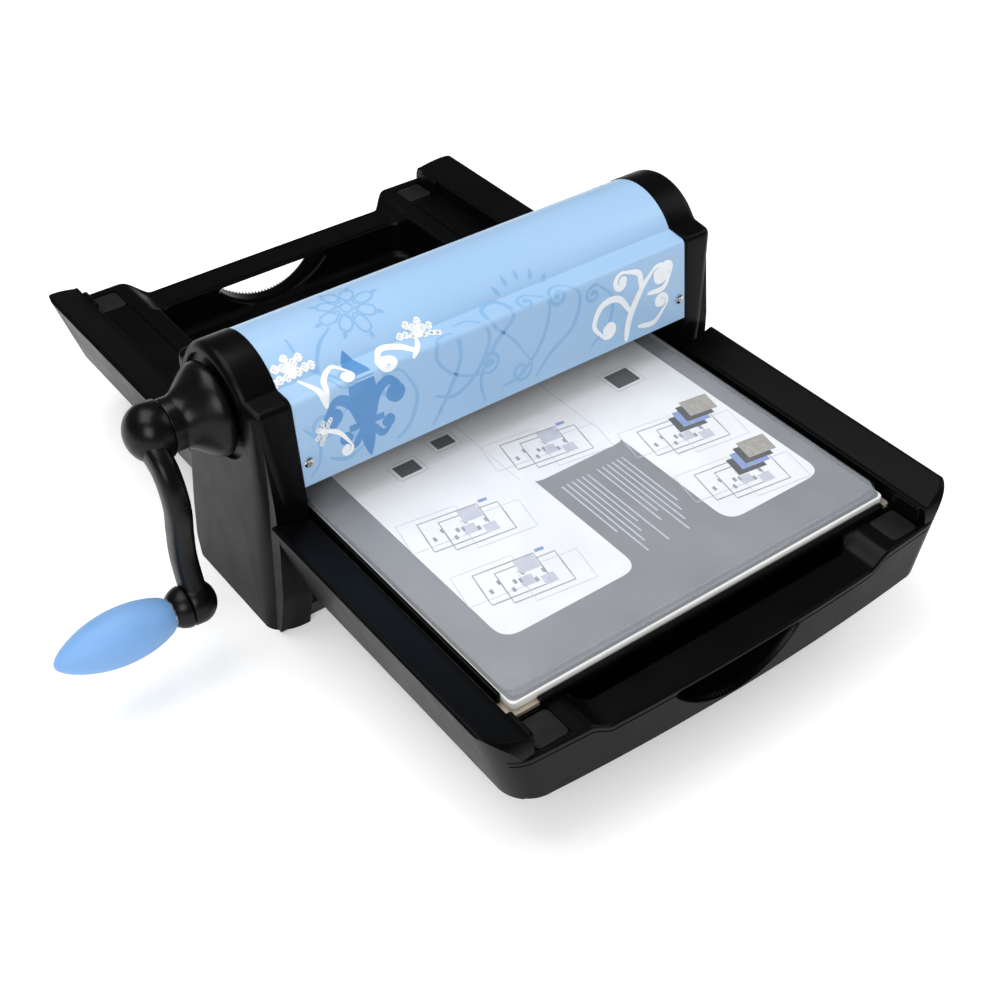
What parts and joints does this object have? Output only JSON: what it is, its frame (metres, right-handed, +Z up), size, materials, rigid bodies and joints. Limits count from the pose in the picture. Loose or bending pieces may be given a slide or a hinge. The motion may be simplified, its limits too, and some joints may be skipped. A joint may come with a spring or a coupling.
{
  "type": "die cutting machine",
  "caption": "Hand-cranked table-top die cutting machine: geared rollers between two end housings, deep trays in front and behind, and a sliding platform of pads.",
  "frame": {"origin": "middle of the base plate's underside, on the table, straight below the rollers' axes", "axes": "+X along the rollers away from the crank, +Y from the user's side to the rear tray, +Z up"},
  "size_m": [0.5598, 0.6285, 0.2255],
  "materials": {
    "black_plastic": "satin",
    "black_gloss": "gloss",
    "blue_cover": "satin",
    "blue_grip": "soft touch",
    "steel": "brushed",
    "dark_steel": "oiled",
    "bronze": "sintered",
    "screw": "bright",
    "rubber": "matte",
    "pad_white": "milky",
    "insert_print": "printed",
    "clear_pad": "clear plastic",
    "board": "satin"
  },
  "bodies": {
    "machine": {"base_plate": "dark_steel", "rubber_feet": "rubber", "base_screws": "screw", "left_side_frame": "steel", "right_side_frame": "steel", "tie_rods": "steel", "tie_rod_nuts": "steel", "left_housing": "black_plastic", "right_housing": "black_plastic", "left_inner_cover": "black_plastic", "right_inner_cover": "black_plastic", "housing_screws": "screw", "roller_bushes": "bronze", "crank_bushes": "bronze", "cover_brackets": "dark_steel", "top_cover": "blue_cover", "cover_screws": "screw", "front_tray": "black_plastic", "rear_tray": "black_plastic", "front_bottom_plate": "black_plastic", "rear_bottom_plate": "black_plastic", "tray_screws": "screw", "front_left_rail": "black_plastic", "front_right_rail": "black_plastic", "rear_left_rail": "black_plastic", "rear_right_rail": "black_plastic", "rail_end_tabs": "black_plastic", "corner_pads": "rubber"},
    "upper_roller": {"upper_roller": "steel", "upper_roller_shaft": "steel", "roller_drive_gear": "dark_steel", "upper_sync_gear": "dark_steel", "gear_keys": "steel"},
    "lower_roller": {"lower_roller": "steel", "lower_roller_shaft": "steel", "lower_sync_gear": "dark_steel"},
    "crank": {"crank_shaft": "steel", "crank_pinion": "dark_steel", "crank_hub": "black_gloss", "crank_arm": "black_gloss", "crank_grub_screw": "screw", "handle_spindle": "steel"},
    "grip": {"handle_ferrule": "black_gloss", "handle_grip": "blue_grip", "handle_washer": "steel"},
    "platform": {"platform_plate": "board", "platform_side_lips": "black_plastic", "platform_end_lips": "black_plastic", "adapter_pad": "pad_white", "printed_insert": "insert_print", "lower_cutting_pad": "clear_pad", "upper_cutting_pad": "clear_pad"}
  },
  "joints": [
    {"name": "crank_turn", "type": "hinge", "parent": "machine", "child": "crank", "pos_m": [-0.2, 0, 0.18], "axis": [1, 0, 0], "range_deg": [-1220, 280]},
    {"name": "upper_roller_turn", "type": "hinge", "parent": "machine", "child": "upper_roller", "pos_m": [0, 0, 0.14625], "axis": [1, 0, 0], "range_deg": [-115, 497]},
    {"name": "lower_roller_turn", "type": "hinge", "parent": "machine", "child": "lower_roller", "pos_m": [0, 0, 0.06825], "axis": [1, 0, 0], "range_deg": [-497, 115]},
    {"name": "platform_slide", "type": "slide", "parent": "machine", "child": "platform", "axis": [0, 1, 0], "range_m": [-0.06, 0.26]},
    {"name": "grip_spin", "type": "hinge", "parent": "crank", "child": "grip", "pos_m": [-0.3, -0.039, 0.059], "axis": [1, 0, 0], "continuous": true}
  ],
  "couplings": [
    {"joint": "upper_roller_turn", "follows": "crank_turn", "ratio": -0.40625},
    {"joint": "lower_roller_turn", "follows": "crank_turn", "ratio": 0.40625},
    {"joint": "platform_slide", "follows": "crank_turn", "m_per_rad": -0.012188}
  ]
}
